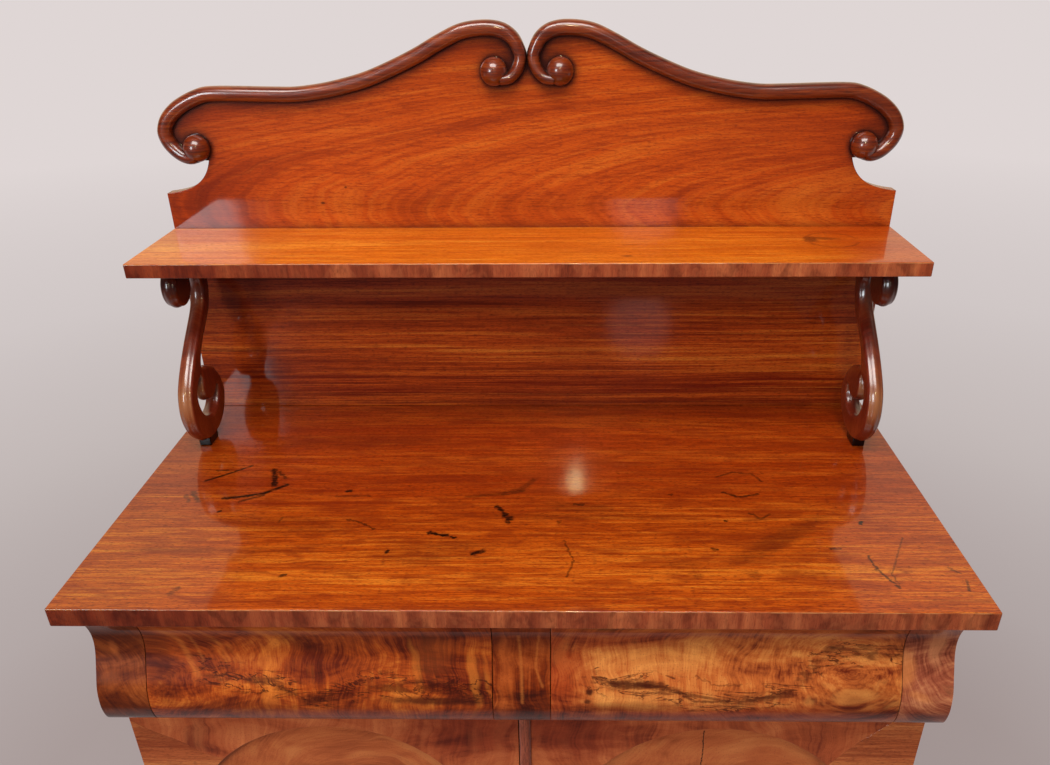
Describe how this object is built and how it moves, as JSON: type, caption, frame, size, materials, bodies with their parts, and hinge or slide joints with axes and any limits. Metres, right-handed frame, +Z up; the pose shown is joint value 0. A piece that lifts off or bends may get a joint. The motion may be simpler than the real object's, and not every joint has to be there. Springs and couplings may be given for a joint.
{
  "type": "chiffonier",
  "caption": "Chiffonier with a worktop over ogee frieze drawers and arched cupboard doors, and a scrolled gallery back with a shelf on scroll supports",
  "frame": {"origin": "on the floor, under the middle of the bounding box", "axes": "+Z up, +X to the right of someone facing the front, the front faces -Y, the back stands against a wall at +Y"},
  "size_m": [1.02, 0.52, 1.4389],
  "materials": {
    "top_wood": "french-polished mahogany, plain horizontal grain, orange-brown",
    "panel_wood": "french-polished mahogany, red-brown",
    "flame_wood": "french-polished flame-figured mahogany veneer",
    "carved_wood": "french-polished carved mahogany, dark red-brown, glossy",
    "inside_wood": "unpolished pine and mahogany, dry",
    "brass": "aged brass",
    "steel": "dull iron and steel"
  },
  "bodies": {
    "cabinet": {"worktop": "top_wood", "gallery_shelf": "top_wood", "gallery_upper_board": "top_wood", "gallery_lower_board": "panel_wood", "plinth_front": "panel_wood", "plinth_left": "panel_wood", "plinth_right": "panel_wood", "carcass_side_left": "panel_wood", "carcass_side_right": "panel_wood", "corner_block_left": "flame_wood", "corner_block_right": "flame_wood", "centre_block": "flame_wood", "frieze_side_left": "flame_wood", "frieze_side_right": "flame_wood", "left_runner": "inside_wood", "left_lower_hinge_fixed_leaf": "brass", "left_upper_hinge_fixed_leaf": "brass", "right_runner": "inside_wood", "right_lower_hinge_fixed_leaf": "brass", "right_upper_hinge_fixed_leaf": "brass", "pediment_scroll_left": "carved_wood", "pediment_scroll_right": "carved_wood", "scroll_support_left": "carved_wood", "scroll_support_right": "carved_wood", "back_board": "inside_wood", "carcass_bottom": "inside_wood", "dust_board": "inside_wood", "top_rail": "inside_wood", "drawer_divider": "inside_wood", "cupboard_shelf": "inside_wood", "shelf_bearer_left": "inside_wood", "shelf_bearer_right": "inside_wood"},
    "left_drawer": {"left_drawer_front": "flame_wood", "left_drawer_inner_side": "inside_wood", "left_drawer_outer_side": "inside_wood", "left_drawer_bottom": "inside_wood", "left_drawer_back": "inside_wood"},
    "right_drawer": {"right_drawer_front": "flame_wood", "right_drawer_inner_side": "inside_wood", "right_drawer_outer_side": "inside_wood", "right_drawer_bottom": "inside_wood", "right_drawer_back": "inside_wood"},
    "left_door": {"left_door_hinge_stile": "flame_wood", "left_door_meeting_stile": "flame_wood", "left_door_top_rail": "flame_wood", "left_door_bottom_rail": "flame_wood", "left_door_panel": "flame_wood", "left_lower_hinge_door_leaf": "brass", "left_upper_hinge_door_leaf": "brass"},
    "right_door": {"right_door_hinge_stile": "flame_wood", "right_door_meeting_stile": "flame_wood", "right_door_top_rail": "flame_wood", "right_door_bottom_rail": "flame_wood", "right_door_panel": "flame_wood", "right_lower_hinge_door_leaf": "brass", "right_upper_hinge_door_leaf": "brass", "right_door_bead": "carved_wood", "lock_case": "brass"},
    "lock_bolt": {"lock_bolt": "steel"},
    "key": {"key": "steel"}
  },
  "joints": [
    {"name": "left_drawer_slide", "type": "slide", "parent": "cabinet", "child": "left_drawer", "axis": [0, -1, 0], "range_m": [0, 0.28]},
    {"name": "right_drawer_slide", "type": "slide", "parent": "cabinet", "child": "right_drawer", "axis": [0, -1, 0], "range_m": [0, 0.28]},
    {"name": "left_door_swing", "type": "hinge", "parent": "cabinet", "child": "left_door", "pos_m": [-0.4842, -0.2003, 0.4], "axis": [0, 0, -1], "range_deg": [0, 170]},
    {"name": "right_door_swing", "type": "hinge", "parent": "cabinet", "child": "right_door", "pos_m": [0.4842, -0.2003, 0.4], "axis": [0, 0, 1], "range_deg": [0, 170]},
    {"name": "key_turn", "type": "hinge", "parent": "right_door", "child": "key", "pos_m": [0.016, -0.22, 0.47], "axis": [0, 1, 0], "range_deg": [0, 180]},
    {"name": "lock_bolt_slide", "type": "slide", "parent": "right_door", "child": "lock_bolt", "axis": [-1, 0, 0], "range_m": [0, 0.0085]}
  ],
  "couplings": [
    {"joint": "lock_bolt_slide", "follows": "key_turn", "m_per_rad": 0.0026}
  ]
}
